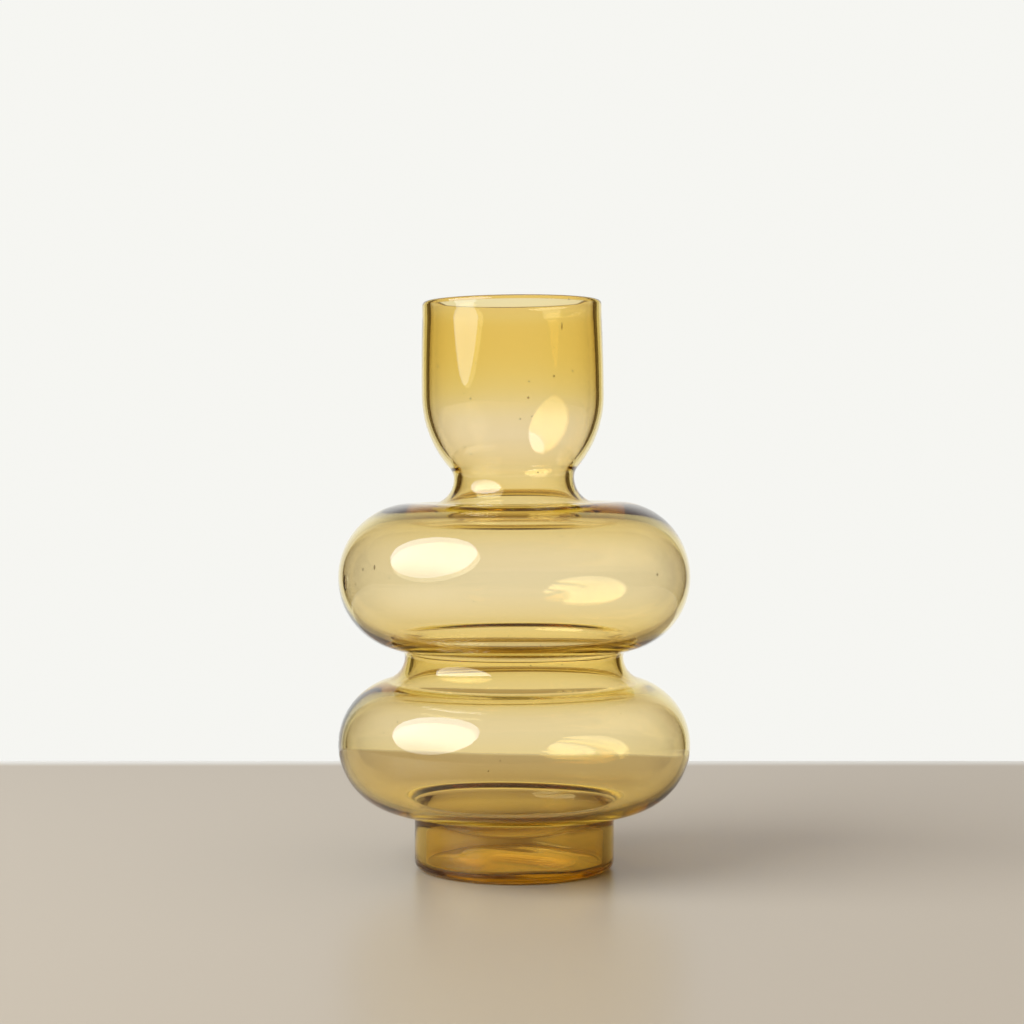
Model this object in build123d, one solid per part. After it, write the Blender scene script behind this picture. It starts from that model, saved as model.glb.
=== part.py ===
# Gourd vase in blown amber glass: a cup mouth, two round bulbs one above the other, and a short foot.
# The wall is drawn as one section, a chain of smooth curves, and turned about the Z axis.
# It is cut at the hot seams, so each section that a glassworker forms and fuses is a solid of its own.
from dataclasses import dataclass
from math import hypot, sqrt
import os

from build123d import *

# Driving dimensions, in millimetres. Z is up, and the resting face lies on Z = 0.
vase_height = 200.1

# The foot is a straight tube, whose inside starts to flare a little lower than its outside.
foot_r = 35.3
foot_wall = 4.0
foot_height = 19.2
foot_hollow_drop = 4.0
heel_round = 3.0
foot_blend = 1.5

base_wall = 2.6
base_corner_round = 1.5
base_rim = 1.5
rest_ring_inner_r = 28.5
punt_round = 500.0
floor_dome_round = 650.0

# Each bulb is blown out thinnest at its side, and its wall thickens where it turns in above and below.
lower_bulb_r = 62.1
lower_bulb_round = 23.4
lower_bulb_side_wall = 2.4
lower_bulb_top_wall = 3.3
lower_bulb_bottom_wall = 3.0

waist_r = 38.7
waist_wall = 3.1
waist_lower_blend = 8.8
waist_upper_blend = 2.3

upper_bulb_r = 62.2
upper_bulb_round = 26.2
upper_bulb_side_wall = 2.4
upper_bulb_top_wall = 3.8
upper_bulb_bottom_wall = 3.3

neck_r = 21.3
neck_wall = 3.0
neck_lower_blend = 9.0
neck_upper_blend = 5.8

cup_r = 32.1
cup_round = 38.8
cup_wall = 2.6

lip_r = 31.6
lip_wall = 2.9
lip_height = 5.5


@dataclass
class Bulge:
    """A round belly of the section: a circle whose centre stands at radius r and height z."""

    r: float
    z: float
    round: float

    def toward(self, point):
        """The point of the circle that faces another point."""
        across = point[0] - self.r
        up = point[1] - self.z
        share = self.round / hypot(across, up)
        return (self.r + across * share, self.z + up * share)

    def equator(self):
        return (self.r + self.round, self.z)

    def lined(self, side_wall, top_wall, bottom_wall):
        """The inside of this belly, behind walls of these thicknesses at its side, top and bottom."""
        inner_round = self.round - (top_wall + bottom_wall) / 2
        inner_r = self.r + self.round - side_wall - inner_round
        return Bulge(inner_r, self.z + (bottom_wall - top_wall) / 2, inner_round)


@dataclass
class Throat:
    """A narrow place of the section, where the wall stands upright at radius r and height z."""

    r: float
    z: float

    def point(self):
        return (self.r, self.z)

    def blend_centre(self, bulge):
        """Centre of the hollow arc that leaves the throat upright and runs smoothly into a bulge."""
        across = self.r - bulge.r
        up = self.z - bulge.z
        blend = (across**2 + up**2 - bulge.round**2) / (2 * (bulge.round - across))
        return (self.r + blend, self.z)


def rise(throat_r, blend, bulge_r, bulge_round):
    """Height between a throat and the centre of a bulge that an arc of radius blend joins to it."""
    return sqrt((bulge_round + blend) ** 2 - (throat_r + blend - bulge_r) ** 2)


def arc(centre, start, end):
    """Arc about centre from start to end, of less than half a turn."""
    radius = hypot(start[0] - centre[0], start[1] - centre[1])
    across = start[0] + end[0] - 2 * centre[0]
    up = start[1] + end[1] - 2 * centre[1]
    share = radius / hypot(across, up)
    middle = (centre[0] + across * share, centre[1] + up * share)
    return ThreePointArc(start, middle, end)


# Heights of the bulges and throats, stacked from the foot upwards.
lower_r = lower_bulb_r - lower_bulb_round
upper_r = upper_bulb_r - upper_bulb_round
cup_centre_r = cup_r - cup_round
lower_z = foot_height + rise(foot_r, foot_blend, lower_r, lower_bulb_round)
waist_z = lower_z + rise(waist_r, waist_lower_blend, lower_r, lower_bulb_round)
upper_z = waist_z + rise(waist_r, waist_upper_blend, upper_r, upper_bulb_round)
neck_z = upper_z + rise(neck_r, neck_lower_blend, upper_r, upper_bulb_round)
cup_z = neck_z + rise(neck_r, neck_upper_blend, cup_centre_r, cup_round)
lip_z = vase_height - lip_height


class Skin:
    """One face of the glass, outside or inside, from the top of the foot to the seat of the lip."""

    def __init__(self, walls):
        self.foot = Throat(foot_r - walls * foot_wall, foot_height - walls * foot_hollow_drop)
        self.lower = Bulge(lower_r, lower_z, lower_bulb_round).lined(
            walls * lower_bulb_side_wall, walls * lower_bulb_top_wall, walls * lower_bulb_bottom_wall
        )
        self.waist = Throat(waist_r - walls * waist_wall, waist_z)
        self.upper = Bulge(upper_r, upper_z, upper_bulb_round).lined(
            walls * upper_bulb_side_wall, walls * upper_bulb_top_wall, walls * upper_bulb_bottom_wall
        )
        self.neck = Throat(neck_r - walls * neck_wall, neck_z)
        self.cup = Bulge(cup_centre_r, cup_z, cup_round - walls * cup_wall)
        self.lip_seat = (lip_r - walls * lip_wall, lip_z)

    def bulb(self, below, bulge, above):
        """Arcs of a bulb between the blends of the throats below and above it."""
        start = bulge.toward(below.blend_centre(bulge))
        end = bulge.toward(above.blend_centre(bulge))
        centre = (bulge.r, bulge.z)
        return [arc(centre, start, bulge.equator()), arc(centre, bulge.equator(), end)]

    def blend(self, throat, bulge):
        """Arc from a throat to the bulge that it opens into."""
        centre = throat.blend_centre(bulge)
        return arc(centre, throat.point(), bulge.toward(centre))

    def lower_bulb(self):
        return [self.blend(self.foot, self.lower)] + self.bulb(self.foot, self.lower, self.waist)

    def waist_collar(self):
        return [self.blend(self.waist, self.lower), self.blend(self.waist, self.upper)]

    def upper_bulb(self):
        return self.bulb(self.waist, self.upper, self.neck)

    def neck_collar(self):
        return [self.blend(self.neck, self.upper), self.blend(self.neck, self.cup)]

    def cup_side(self):
        """The round bottom of the cup, then its side, which bows in from upright to the seat of the lip."""
        centre = (self.cup.r, self.cup.z)
        start = self.cup.toward(self.neck.blend_centre(self.cup))
        upright = self.cup.equator()
        halfway = (upright[0], (upright[1] + self.lip_seat[1]) / 2)
        return [arc(centre, start, upright), Bezier(upright, halfway, self.lip_seat)]


def turned(edges):
    """Solid turned from a closed section, whose corners are radius and height."""
    return revolve(Plane.XZ * make_face(edges), Axis.Z)


def ends(edges):
    """The lowest and the highest free end of a run of edges."""
    corners = sorted((corner for edge in edges for corner in (edge @ 0, edge @ 1)), key=lambda p: p.Y)
    return corners[0], corners[-1]


def shell(outside, inside):
    """Ring of glass between an outside and an inside run of edges, closed by a seam at each end."""
    outside_low, outside_high = ends(outside)
    inside_low, inside_high = ends(inside)
    seams = [Line(outside_low, inside_low), Line(outside_high, inside_high)]
    return turned(outside + inside + seams)


# The base dish: a resting ring round a shallow punt, a domed floor inside, and a rounded heel.
foot_inner_r = foot_r - foot_wall
punt_height = punt_round - sqrt(punt_round**2 - rest_ring_inner_r**2)
floor_z = punt_height + base_wall
floor_centre = (0, floor_z - floor_dome_round)
corner_r = foot_inner_r - base_corner_round
corner_z = floor_centre[1] + sqrt((floor_dome_round + base_corner_round) ** 2 - corner_r**2)
base_z = max(corner_z, heel_round) + base_rim


def make_base():
    corner = (corner_r, corner_z)
    floor_edge = Bulge(*floor_centre, floor_dome_round).toward(corner)
    rest_ring_outer_r = foot_r - heel_round
    return turned(
        [
            arc((0, punt_height - punt_round), (0, punt_height), (rest_ring_inner_r, 0)),
            Line((rest_ring_inner_r, 0), (rest_ring_outer_r, 0)),
            arc((rest_ring_outer_r, heel_round), (rest_ring_outer_r, 0), (foot_r, heel_round)),
            Line((foot_r, heel_round), (foot_r, base_z)),
            Line((foot_r, base_z), (foot_inner_r, base_z)),
            Line((foot_inner_r, base_z), (foot_inner_r, corner_z)),
            arc(corner, (foot_inner_r, corner_z), floor_edge),
            arc(floor_centre, floor_edge, (0, floor_z)),
            Line((0, floor_z), (0, punt_height)),
        ]
    )


def make_foot():
    """The straight tube of the foot, from the base dish up to the lower bulb."""
    return shell(
        [Line((foot_r, base_z), (foot_r, foot_height))],
        [Line((foot_inner_r, base_z), (foot_inner_r, foot_height - foot_hollow_drop))],
    )


def make_lip():
    """The fire-polished lip: an upright ring whose top is fully round."""
    lip_inner_r = lip_r - lip_wall
    round_z = vase_height - lip_wall / 2
    crown = (lip_r - lip_wall / 2, vase_height)
    return turned(
        [
            Line((lip_inner_r, lip_z), (lip_r, lip_z)),
            Line((lip_r, lip_z), (lip_r, round_z)),
            ThreePointArc((lip_r, round_z), crown, (lip_inner_r, round_z)),
            Line((lip_inner_r, round_z), (lip_inner_r, lip_z)),
        ]
    )


outside = Skin(walls=0)
inside = Skin(walls=1)

pieces = {
    "base": make_base(),
    "foot": make_foot(),
    "lower_bulb": shell(outside.lower_bulb(), inside.lower_bulb()),
    "waist": shell(outside.waist_collar(), inside.waist_collar()),
    "upper_bulb": shell(outside.upper_bulb(), inside.upper_bulb()),
    "neck": shell(outside.neck_collar(), inside.neck_collar()),
    "cup": shell(outside.cup_side(), inside.cup_side()),
    "lip": make_lip(),
}

os.makedirs("parts", exist_ok=True)
for name, piece in pieces.items():
    export_step(piece, f"parts/{name}.step")

print(f"height {vase_height:.2f}, widest diameter {2 * max(lower_bulb_r, upper_bulb_r):.2f}")
print(f"floor {floor_z:.2f}, base seam {base_z:.2f}, lower bulb {lower_z:.2f}, waist {waist_z:.2f}")
print(f"upper bulb {upper_z:.2f}, neck {neck_z:.2f}, cup {cup_z:.2f}, lip seat {lip_z:.2f}")
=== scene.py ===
"""The amber glass gourd vase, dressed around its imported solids, on a pale table top.

Sizes of the glass are in millimetres, as in the part's source, and become metres where a mesh is made.
"""

import math
import random

import bmesh
import bpy
import numpy as np
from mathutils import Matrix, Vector


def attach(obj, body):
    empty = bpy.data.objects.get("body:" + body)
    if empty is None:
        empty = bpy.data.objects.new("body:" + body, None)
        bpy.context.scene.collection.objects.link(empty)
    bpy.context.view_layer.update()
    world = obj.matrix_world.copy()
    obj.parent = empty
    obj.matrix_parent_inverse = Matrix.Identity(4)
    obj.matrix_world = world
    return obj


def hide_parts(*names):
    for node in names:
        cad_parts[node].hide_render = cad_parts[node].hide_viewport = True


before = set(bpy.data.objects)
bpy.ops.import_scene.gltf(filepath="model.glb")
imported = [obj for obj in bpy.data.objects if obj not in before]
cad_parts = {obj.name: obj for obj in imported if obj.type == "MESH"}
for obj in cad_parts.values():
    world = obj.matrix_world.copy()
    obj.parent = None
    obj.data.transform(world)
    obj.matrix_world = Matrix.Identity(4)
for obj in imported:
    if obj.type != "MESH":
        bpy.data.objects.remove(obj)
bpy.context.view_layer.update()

MM = 0.001

# The section of the glass, as in the part's source.
vase_height = 200.1
foot_r, foot_wall, foot_height = 35.3, 4.0, 19.2
heel_round, foot_blend, foot_hollow_drop = 3.0, 1.5, 4.0
base_wall, base_corner_round = 2.6, 1.5
rest_ring_inner_r, punt_round, floor_dome_round = 28.5, 500.0, 650.0
lower_bulb_r, lower_bulb_round = 62.1, 23.4
lower_bulb_side_wall, lower_bulb_top_wall, lower_bulb_bottom_wall = 2.4, 3.3, 3.0
waist_r, waist_wall, waist_lower_blend, waist_upper_blend = 38.7, 3.1, 8.8, 2.3
upper_bulb_r, upper_bulb_round = 62.2, 26.2
upper_bulb_side_wall, upper_bulb_top_wall, upper_bulb_bottom_wall = 2.4, 3.8, 3.3
neck_r, neck_wall, neck_lower_blend, neck_upper_blend = 21.3, 3.0, 9.0, 5.8
cup_r, cup_round, cup_wall = 32.1, 38.8, 2.6
lip_r, lip_wall, lip_height = 31.6, 2.9, 5.5

# How finely the section is sampled, and how many times it is repeated round the axis.
longest_step = 1.9
widest_turn = math.radians(5.0)
turns = 180

# What the glassworker's hand leaves: the upper part leans, the bulbs' walls wave and the floor is uneven.
lean_from_z, lean_full_z = 105.0, 140.0
lean_angle = math.radians(0.65)
wave_height = 0.14
floor_wave_height = 0.22

# Air caught in the wall: many small seeds, and the larger bubbles that show from the front.
# Each of those has its turn from the front in degrees, its height, and its half sizes across, through and up.
seed_count = 90
seed_sizes = (0.13, 0.28)
larger_bubbles = [
    (-70.5, 101.8, (1.5, 0.9, 2.8)),
    (-50.0, 108.0, (0.40, 0.35, 0.80)),
    (-56.5, 107.0, (0.35, 0.35, 0.45)),
    (51.0, 105.6, (0.38, 0.35, 0.42)),
    (22.0, 66.0, (0.42, 0.35, 0.38)),
    (9.5, 165.1, (0.38, 0.35, 0.40)),
    (26.5, 172.4, (0.35, 0.30, 0.38)),
    (33.0, 189.4, (0.22, 0.22, 1.30)),
    (-54.5, 176.5, (0.35, 0.30, 0.40)),
]
# A hair of air drawn up the wall above the lower bulb: its turn, the heights of its ends, and its half width.
hair_turn, hair_low, hair_high, hair_size = -61.0, 59.5, 68.5, 0.18

# Amber: what a metre of the glass takes from red, green and blue light, as a colour and a density.
glass_density = 90.0
glass_colour = (0.86, 0.765, 0.0, 1.0)
glass_ior = 1.47

# The resting ring is rough up to this height above the table, fading out by the second one.
ring_roughness = 0.5
ring_rough_z = (0.0001, 0.0006)

# Most of the colour is in the skin of the glass, denser where it was stretched least.
# Height in the vase, and how much green and blue its skin takes there, over both walls.
skin_colour = [
    (0.0, 0.87, 2.68),
    (4.5, 0.45, 2.16),
    (19.0, 0.43, 2.04),
    (27.0, 0.28, 1.06),
    (40.0, 0.17, 0.52),
    (57.0, 0.15, 0.29),
    (67.0, 0.25, 1.03),
    (76.0, 0.34, 1.47),
    (83.0, 0.25, 0.78),
    (93.0, 0.15, 0.40),
    (112.0, 0.15, 0.30),
    (124.0, 0.21, 0.70),
    (134.0, 0.26, 0.97),
    (147.0, 0.19, 0.41),
    (158.0, 0.17, 0.31),
    (168.0, 0.27, 1.11),
    (180.0, 0.36, 1.62),
    (193.5, 0.37, 1.63),
    (197.5, 0.24, 0.85),
    (200.0, 0.34, 1.25),
]

# The room: a white wall behind, dimmer at its ends, a grey ceiling, a dark screen on each side of the wall,
# and a front that is dim but for the grey daylight that comes from behind the camera.
wall_colour = (0.92, 0.92, 0.885, 1.0)
wall_end_colour = (0.76, 0.71, 0.58, 1.0)
ceiling_colour = (0.34, 0.30, 0.29, 1.0)
screen_colour = (0.07, 0.034, 0.012, 1.0)
front_colour = (0.07, 0.06, 0.05, 1.0)
daylight_colour = (0.22, 0.25, 0.30, 1.0)

# Where each of those begins and is full, as the part of a view's direction that points aside, back or up.
wall_ends_aside = (0.25, 0.48)
screens_aside = (0.48, 0.52)
daylight_back = (-0.95, -0.35)
wall_back = (0.0, 0.03)
ceiling_up = (0.26, 0.60)

# The lamps: a large soft one at the front left, aimed at the vase, and a weak one overhead for the table.
softbox_size = (1.74, 1.70)
softbox_energy = 42.0
softbox_colour = (0.78, 0.87, 1.0)
softbox_way = (-0.749, -0.398, 0.530)
softbox_distance = 1.6
softbox_aim = (0.0, 0.0, 0.1)
# The soft lamp is dimmer at its lower side: place across it and level, at both ends of the fade.
softbox_fade = ((0.0, 0.6), (0.45, 1.2))
fill_size = 2.0
fill_energy = 7.0
fill_place = (0.2, -0.5, 1.4)

# The table: its width, depth and thickness, how far behind the vase it ends, and its colour, painted paler
# towards that edge as a painted glow of the bright wall behind. A hair's breadth under the glass keeps the
# two surfaces apart.
table_size = (2.6, 1.6, 0.04)
table_far_y = 0.268
table_gap = 0.00005
painted_glow_width = 0.020
table_roughness = 0.32
table_gloss = 0.15
table_colour = (0.445, 0.367, 0.265, 1.0)
table_edge_painted_glow = (0.73, 0.69, 0.60, 1.0)

# Camera: distance and height of the lens, its focal length and its tilt below the horizon.
camera_distance = 0.7534
camera_height = 0.1431
camera_side = -0.0008
camera_tilt = math.radians(1.32)
camera_lens, camera_sensor = 50.0, 24.0


def rise(throat_r, blend, bulge_r, bulge_round):
    """Height between a throat and the centre of the bulge that an arc of radius blend joins to it."""
    return math.sqrt((bulge_round + blend) ** 2 - (throat_r + blend - bulge_r) ** 2)


def arc(centre, radius, start, end):
    """Points along an arc between two angles."""
    count = max(math.ceil(abs(end - start) * max(radius / longest_step, 1 / widest_turn)), 2)
    angles = np.linspace(start, end, count + 1)
    return np.stack([centre[0] + radius * np.cos(angles), centre[1] + radius * np.sin(angles)], axis=1)


def line(start, end):
    """Points along a straight run."""
    count = max(math.ceil(math.dist(start, end) / longest_step), 1)
    return np.linspace(start, end, count + 1)


def bowed(start, end):
    """Points along a run that leaves its start upright and bows over to its end."""
    count = math.ceil(math.dist(start, end) / longest_step)
    t = np.linspace(0.0, 1.0, count + 1)
    return np.stack([start[0] + (end[0] - start[0]) * t**2, start[1] + (end[1] - start[1]) * t], axis=1)


def way(start, end):
    """Angle of the direction from one point to another."""
    return math.atan2(end[1] - start[1], end[0] - start[0])


lower_r = lower_bulb_r - lower_bulb_round
upper_r = upper_bulb_r - upper_bulb_round
cup_centre_r = cup_r - cup_round
lower_z = foot_height + rise(foot_r, foot_blend, lower_r, lower_bulb_round)
waist_z = lower_z + rise(waist_r, waist_lower_blend, lower_r, lower_bulb_round)
upper_z = waist_z + rise(waist_r, waist_upper_blend, upper_r, upper_bulb_round)
neck_z = upper_z + rise(neck_r, neck_lower_blend, upper_r, upper_bulb_round)
cup_z = neck_z + rise(neck_r, neck_upper_blend, cup_centre_r, cup_round)
lip_z = vase_height - lip_height
lip_round_z = vase_height - lip_wall / 2


def blend(throat, bulge):
    """Centre and radius of the hollow arc that leaves a throat upright and runs into a bulge."""
    across, up = throat[0] - bulge[0], throat[1] - bulge[1]
    radius = (across**2 + up**2 - bulge[2] ** 2) / (2 * (bulge[2] - across))
    return (throat[0] + radius, throat[1]), radius


def from_throat(throat, bulge):
    """The hollow arc, from the throat to the bulge."""
    centre, radius = blend(throat, bulge)
    upright = math.copysign(math.pi, bulge[1] - throat[1])
    return arc(centre, radius, upright, way(centre, bulge))


def round_bulge(below, bulge, above):
    """The belly between the hollow arcs of the throats below and above it."""
    start = way(bulge, blend(below, bulge)[0])
    end = way(bulge, blend(above, bulge)[0])
    return arc(bulge, bulge[2], start, end)


def lined(bulge, side_wall, top_wall, bottom_wall):
    """The inside of a belly, behind walls of these thicknesses at its side, top and bottom."""
    r, z, outer_round = bulge
    inner_round = outer_round - (top_wall + bottom_wall) / 2
    return (r + outer_round - side_wall - inner_round, z + (bottom_wall - top_wall) / 2, inner_round)


def skin(walls):
    """One face of the glass from the top of the foot to the lip: outside with no walls, inside with one."""
    foot = (foot_r - walls * foot_wall, foot_height - walls * foot_hollow_drop)
    lower = lined(
        (lower_r, lower_z, lower_bulb_round),
        walls * lower_bulb_side_wall,
        walls * lower_bulb_top_wall,
        walls * lower_bulb_bottom_wall,
    )
    waist = (waist_r - walls * waist_wall, waist_z)
    upper = lined(
        (upper_r, upper_z, upper_bulb_round),
        walls * upper_bulb_side_wall,
        walls * upper_bulb_top_wall,
        walls * upper_bulb_bottom_wall,
    )
    neck = (neck_r - walls * neck_wall, neck_z)
    cup = (cup_centre_r, cup_z, cup_round - walls * cup_wall)
    seat = (lip_r - walls * lip_wall, lip_z)
    return [
        from_throat(foot, lower),
        round_bulge(foot, lower, waist),
        from_throat(waist, lower)[::-1],
        from_throat(waist, upper),
        round_bulge(waist, upper, neck),
        from_throat(neck, upper)[::-1],
        from_throat(neck, cup),
        arc(cup, cup[2], way(cup, blend(neck, cup)[0]), 0.0),
        bowed((cup[0] + cup[2], cup[1]), seat),
        line(seat, (seat[0], lip_round_z)),
    ]


def section():
    """The whole section, from the middle of the underside, over the lip, to the middle of the floor inside.

    Returns the points and which of them lie on the inside.
    """
    foot_inner_r = foot_r - foot_wall
    punt_height = punt_round - math.sqrt(punt_round**2 - rest_ring_inner_r**2)
    punt_centre = (0.0, punt_height - punt_round)
    ring_edge = way(punt_centre, (rest_ring_inner_r, 0.0))
    heel_r = foot_r - heel_round
    underside = [
        arc(punt_centre, punt_round, math.pi / 2, ring_edge),
        line((rest_ring_inner_r, 0.0), (heel_r, 0.0)),
        arc((heel_r, heel_round), heel_round, -math.pi / 2, 0.0),
        line((foot_r, heel_round), (foot_r, foot_height)),
    ]
    floor_centre = (0.0, punt_height + base_wall - floor_dome_round)
    corner_r = foot_inner_r - base_corner_round
    corner_z = floor_centre[1] + math.sqrt((floor_dome_round + base_corner_round) ** 2 - corner_r**2)
    corner = (corner_r, corner_z)
    floor_edge = way(floor_centre, corner)
    floor = [
        line((foot_inner_r, foot_height - foot_hollow_drop), (foot_inner_r, corner_z)),
        arc(corner, base_corner_round, 0.0, floor_edge - math.pi),
        arc(floor_centre, floor_dome_round, floor_edge, math.pi / 2),
    ]
    crown = arc((lip_r - lip_wall / 2, lip_round_z), lip_wall / 2, 0.0, math.pi)
    outside = underside + skin(walls=0)
    inside = [run[::-1] for run in reversed(skin(walls=1))] + floor
    runs = outside + [crown] + inside
    kept = [runs[0]] + [run[1:] for run in runs[1:]]
    within = np.concatenate(
        [np.full(len(run), float(number > len(outside))) for number, run in enumerate(kept)]
    )
    return np.concatenate(kept), within


def smooth(low, high, value):
    """0 below low, 1 above high, and a smooth step between."""
    t = np.clip((value - low) / (high - low), 0.0, 1.0)
    return t * t * (3 - 2 * t)


def hand_blown(points, within):
    """Moves the points of the turned glass as hand work does: waves, an uneven floor and a slight lean."""
    x, y, z = points.T
    r = np.hypot(x, y)
    angle = np.arctan2(y, x)
    free = smooth(8.0, 24.0, z) * smooth(150.0, 128.0, z) * smooth(0.0, 20.0, r)
    outer_wave = np.cos(2 * angle + 0.8 + z / 60) + 0.6 * np.cos(3 * angle - z / 23)
    outer_wave += 0.4 * np.cos(z / 7 + 2 * angle)
    inner_wave = np.cos(2 * angle - 1.1 + z / 45) + 0.6 * np.cos(4 * angle + z / 19)
    inner_wave += 0.5 * np.cos(z / 5.5 - angle)
    swell = wave_height * free * np.where(within > 0.5, inner_wave, outer_wave)
    x = x + swell * np.cos(angle)
    y = y + swell * np.sin(angle)
    lean = lean_angle * smooth(lean_from_z, lean_full_z, z)
    drift = lean_angle * (
        np.where(z > lean_full_z, z - (lean_from_z + lean_full_z) / 2, 0.0)
        + np.where(
            (z > lean_from_z) & (z <= lean_full_z),
            (z - lean_from_z) ** 2 / (2 * (lean_full_z - lean_from_z)),
            0.0,
        )
    )
    floor_wave = np.sin(x / 7 + 0.6) + np.cos(y / 6 - 0.4) + 0.6 * np.sin((x + y) / 5)
    bumps = floor_wave_height * floor_wave * within * smooth(9.0, 5.0, z)
    return np.stack([x - drift, y, z + lean * x + bumps], axis=1)


def in_the_wall(depth):
    """Radius and height of points at a depth under the outside, from the top of the foot to the lip."""
    outside = np.concatenate(skin(walls=0))
    along = np.gradient(outside, axis=0)
    inward = np.stack([-along[:, 1], along[:, 0]], axis=1) / np.hypot(*along.T)[:, None]
    return outside + depth * inward


def placed(points, turn, r, z):
    """Points about a spot of the wall: x goes round the axis, y outwards and z up."""
    across = np.array([-math.cos(turn), -math.sin(turn), 0.0])
    outward = np.array([math.sin(turn), -math.cos(turn), 0.0])
    up = np.array([0.0, 0.0, 1.0])
    return r * outward + z * up + points @ np.stack([across, outward, up])


def bubbles():
    """Air in the wall, as lists of points and of faces that look inwards, away from the glass."""
    maker = bmesh.new()
    bmesh.ops.create_icosphere(maker, subdivisions=2, radius=1.0)
    maker.verts.index_update()
    ball = np.array([vertex.co for vertex in maker.verts])
    ball_faces = [[vertex.index for vertex in reversed(face.verts)] for face in maker.faces]
    maker.free()
    wall = in_the_wall(depth=1.1)
    chance = random.Random(4)
    found = []
    for spot in chance.choices(range(len(wall)), weights=wall[:, 0], k=seed_count):
        size = chance.uniform(*seed_sizes)
        turn = chance.uniform(-math.pi, math.pi)
        found.append((placed(size * ball, turn, *wall[spot]), ball_faces))
    for turn, z, sizes in larger_bubbles:
        spot = np.argmin(np.abs(wall[:, 1] - z))
        found.append((placed(np.array(sizes) * ball, math.radians(turn), wall[spot, 0], z), ball_faces))

    sides = 6
    run = wall[(wall[:, 1] > hair_low) & (wall[:, 1] < hair_high)]
    taper = hair_size * np.sin(np.linspace(0.15, math.pi - 0.15, len(run)))
    angles = np.arange(sides) * 2 * math.pi / sides
    ring = np.stack([np.cos(angles), np.sin(angles), np.zeros(sides)], axis=1)
    sway = np.radians(hair_turn + 0.6 * np.sin(np.arange(len(run))))
    hair = np.concatenate([placed(width * ring, turn, *spot) for width, turn, spot in zip(taper, sway, run)])
    hair_faces = [list(range(sides)), list(range(len(hair) - 1, len(hair) - 1 - sides, -1))]
    for row in range(len(run) - 1):
        for side in range(sides):
            low, after = row * sides + side, row * sides + (side + 1) % sides
            hair_faces.append([low, low + sides, after + sides, after])
    return found + [(hair, hair_faces)]


def vessel_mesh():
    """The one continuous mesh of the glass, outside and inside, with the air in its wall."""
    outline, within = section()
    body = outline[1:-1]
    angles = np.arange(turns) * 2 * math.pi / turns
    ring = np.stack([np.cos(angles), np.sin(angles)], axis=1)
    around = body[:, None, 0, None] * ring[None]
    heights = np.broadcast_to(body[:, None, 1, None], (len(body), turns, 1))
    points = np.concatenate([around, heights], axis=2).reshape(-1, 3)
    points = np.concatenate([points, [[0.0, 0.0, outline[0][1]], [0.0, 0.0, outline[-1][1]]]])
    inner = np.concatenate([np.repeat(within[1:-1], turns), [0.0, 1.0]])
    points = hand_blown(points, inner) * MM
    row, column = np.meshgrid(np.arange(len(body) - 1), np.arange(turns), indexing="ij")
    after = (column + 1) % turns
    quads = np.stack(
        [row * turns + column, row * turns + after, (row + 1) * turns + after, (row + 1) * turns + column],
        axis=-1,
    ).reshape(-1, 4)
    first, last = len(points) - 2, len(points) - 1
    top = (len(body) - 1) * turns
    caps = [(first, (k + 1) % turns, k) for k in range(turns)]
    caps += [(last, top + k, top + (k + 1) % turns) for k in range(turns)]
    faces = quads.tolist() + caps
    for air, air_faces in bubbles():
        faces += [[len(points) + corner for corner in face] for face in air_faces]
        points = np.concatenate([points, hand_blown(air, np.zeros(len(air))) * MM])
    mesh = bpy.data.meshes.new("vessel")
    mesh.from_pydata(points.tolist(), [], faces)
    mesh.polygons.foreach_set("use_smooth", [True] * len(mesh.polygons))
    mesh.update()
    return mesh


def ramp(nodes, name, start, end):
    """A smooth step between two levels: start and end are (input, level)."""
    step = nodes.new("ShaderNodeMapRange")
    step.name = name
    step.interpolation_type = "SMOOTHSTEP"
    step.inputs["From Min"].default_value, step.inputs["To Min"].default_value = start
    step.inputs["From Max"].default_value, step.inputs["To Max"].default_value = end
    return step


def fade(tree, name, value, span, first, second):
    """A colour that goes over smoothly from a first to a second one as a value crosses a span.

    Each colour is a fixed one or the socket of a node.
    """
    step = ramp(tree.nodes, name, (span[0], 0.0), (span[1], 1.0))
    tree.links.new(value, step.inputs["Value"])
    mix = tree.nodes.new("ShaderNodeMix")
    mix.name = name + " colour"
    mix.data_type = "RGBA"
    tree.links.new(step.outputs[0], mix.inputs["Factor"])
    for socket, colour in (("A", first), ("B", second)):
        if isinstance(colour, tuple):
            mix.inputs[socket].default_value = colour
        else:
            tree.links.new(colour, mix.inputs[socket])
    return mix.outputs["Result"]


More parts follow.
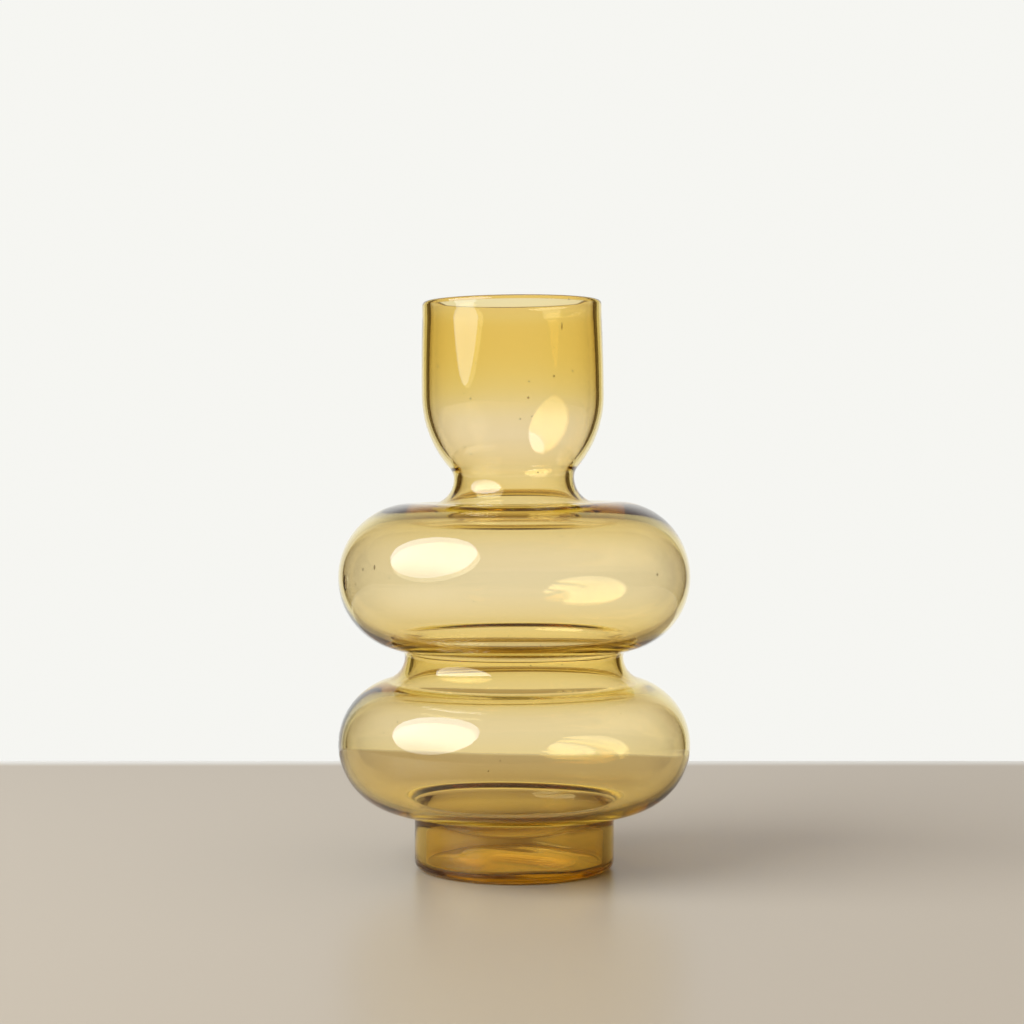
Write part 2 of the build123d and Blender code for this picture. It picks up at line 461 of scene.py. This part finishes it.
def amber_glass():
    """Clear amber glass: a light tint all through, and a skin denser at the foot, waist, shoulders and lip.

    The ring that rests on the table is rough, so that it shows no mirror of the table under it.
    """
    made = bpy.data.materials.new("amber_glass")
    made.use_nodes = True
    nodes, links = made.node_tree.nodes, made.node_tree.links
    shader = nodes["Principled BSDF"]
    shader.inputs["IOR"].default_value = glass_ior
    shader.inputs["Transmission Weight"].default_value = 1.0

    where = nodes.new("ShaderNodeTexCoord")
    split = nodes.new("ShaderNodeSeparateXYZ")
    links.new(where.outputs["Object"], split.inputs[0])
    height = nodes.new("ShaderNodeMath")
    height.operation = "DIVIDE"
    height.inputs[1].default_value = vase_height * MM
    links.new(split.outputs["Z"], height.inputs[0])
    skin_tint = nodes.new("ShaderNodeValToRGB")
    skin_tint.color_ramp.interpolation = "B_SPLINE"
    links.new(height.outputs[0], skin_tint.inputs["Fac"])
    stops = skin_tint.color_ramp.elements
    while len(stops) < len(skin_colour):
        stops.new(0.5)
    for stop, (z, green, blue) in zip(stops, skin_colour):
        stop.position = z / vase_height
        stop.color = (1.0, math.exp(-green / 2), math.exp(-blue / 2), 1.0)
    links.new(skin_tint.outputs["Color"], shader.inputs["Base Color"])

    ground = ramp(nodes, "ground", (ring_rough_z[0], ring_roughness), (ring_rough_z[1], 0.0))
    links.new(split.outputs["Z"], ground.inputs["Value"])
    links.new(ground.outputs[0], shader.inputs["Roughness"])

    tint = nodes.new("ShaderNodeVolumeAbsorption")
    tint.inputs["Color"].default_value = glass_colour
    tint.inputs["Density"].default_value = glass_density
    links.new(tint.outputs["Volume"], nodes["Material Output"].inputs["Volume"])
    return made


def table_top():
    """The pale table that the vase stands on, whose far edge shows behind it."""
    made = bpy.data.materials.new("table")
    made.use_nodes = True
    nodes, links = made.node_tree.nodes, made.node_tree.links
    shader = nodes["Principled BSDF"]
    shader.inputs["Roughness"].default_value = table_roughness
    shader.inputs["Specular IOR Level"].default_value = table_gloss
    where = nodes.new("ShaderNodeTexCoord")
    split = nodes.new("ShaderNodeSeparateXYZ")
    links.new(where.outputs["Object"], split.inputs[0])
    # Painted glow: over the last stretch before the far edge the colour turns paler, standing in for the
    # bright wall's light spread over the edge.
    painted_glow_span = (table_far_y - painted_glow_width, table_far_y)
    colour = fade(made.node_tree, "far edge", split.outputs["Y"], painted_glow_span, table_colour, table_edge_painted_glow)
    links.new(colour, shader.inputs["Base Color"])
    mesh = bpy.data.meshes.new("table")
    maker = bmesh.new()
    bmesh.ops.create_cube(maker, size=1.0)
    bmesh.ops.scale(maker, vec=table_size, verts=maker.verts)
    middle = (0.0, table_far_y - table_size[1] / 2, -table_size[2] / 2 - table_gap)
    bmesh.ops.translate(maker, vec=middle, verts=maker.verts)
    maker.to_mesh(mesh)
    maker.free()
    table = bpy.data.objects.new("table", mesh)
    table.data.materials.append(made)
    bpy.context.scene.collection.objects.link(table)


def studio():
    """A white wall behind, a dimmer room round it, a soft lamp at the front left and a weak one overhead."""
    world = bpy.data.worlds.new("studio")
    bpy.context.scene.world = world
    world.use_nodes = True
    tree = world.node_tree
    nodes, links = tree.nodes, tree.links
    background = nodes["Background"]
    where = nodes.new("ShaderNodeTexCoord")
    split = nodes.new("ShaderNodeSeparateXYZ")
    links.new(where.outputs["Generated"], split.inputs[0])
    aside = nodes.new("ShaderNodeMath")
    aside.operation = "ABSOLUTE"
    links.new(split.outputs["X"], aside.inputs[0])
    wall = fade(tree, "ends", aside.outputs[0], wall_ends_aside, wall_colour, wall_end_colour)
    back = fade(tree, "screens", aside.outputs[0], screens_aside, wall, screen_colour)
    front = fade(tree, "facing", split.outputs["Y"], daylight_back, daylight_colour, front_colour)
    walls = fade(tree, "behind", split.outputs["Y"], wall_back, front, back)
    room = fade(tree, "above", split.outputs["Z"], ceiling_up, walls, ceiling_colour)
    links.new(room, background.inputs["Color"])

    lamp = bpy.data.lights.new("softbox", "AREA")
    lamp.shape = "ELLIPSE"
    lamp.size, lamp.size_y = softbox_size
    lamp.energy = softbox_energy
    lamp.color = softbox_colour
    lamp.use_nodes = True
    nodes, links = lamp.node_tree.nodes, lamp.node_tree.links
    place = nodes.new("ShaderNodeNewGeometry")
    middle = nodes.new("ShaderNodeSeparateXYZ")
    links.new(place.outputs["Parametric"], middle.inputs[0])
    fall = ramp(nodes, "fall", *softbox_fade)
    links.new(middle.outputs["Y"], fall.inputs["Value"])
    links.new(fall.outputs[0], nodes["Emission"].inputs["Strength"])
    softbox = bpy.data.objects.new("softbox", lamp)
    bpy.context.scene.collection.objects.link(softbox)
    aim = Vector(softbox_aim)
    softbox.location = aim + softbox_distance * Vector(softbox_way)
    softbox.rotation_mode = "QUATERNION"
    softbox.rotation_quaternion = (aim - softbox.location).to_track_quat("-Z", "Y")

    fill = bpy.data.lights.new("fill", "AREA")
    fill.size = fill_size
    fill.energy = fill_energy
    overhead = bpy.data.objects.new("fill", fill)
    bpy.context.scene.collection.objects.link(overhead)
    overhead.location = fill_place
    overhead.visible_camera = False
    overhead.visible_transmission = False
    overhead.visible_glossy = False


def set_camera():
    """A level view from a little below the lip, as the photograph has it."""
    lens = bpy.data.cameras.new("camera")
    lens.lens = camera_lens
    lens.sensor_width = camera_sensor
    camera = bpy.data.objects.new("camera", lens)
    camera.location = (camera_side, -camera_distance, camera_height)
    camera.rotation_euler = (math.pi / 2 - camera_tilt, 0.0, 0.0)
    bpy.context.scene.collection.objects.link(camera)
    bpy.context.scene.camera = camera


scene = bpy.context.scene
scene.view_settings.view_transform = "Standard"
scene.cycles.max_bounces = 64
scene.cycles.transmission_bounces = 64
scene.cycles.glossy_bounces = 64

vessel = bpy.data.objects.new("glass_vessel", vessel_mesh())
vessel.data.materials.append(amber_glass())
scene.collection.objects.link(vessel)
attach(vessel, "root")
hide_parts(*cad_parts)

table_top()
studio()
set_camera()
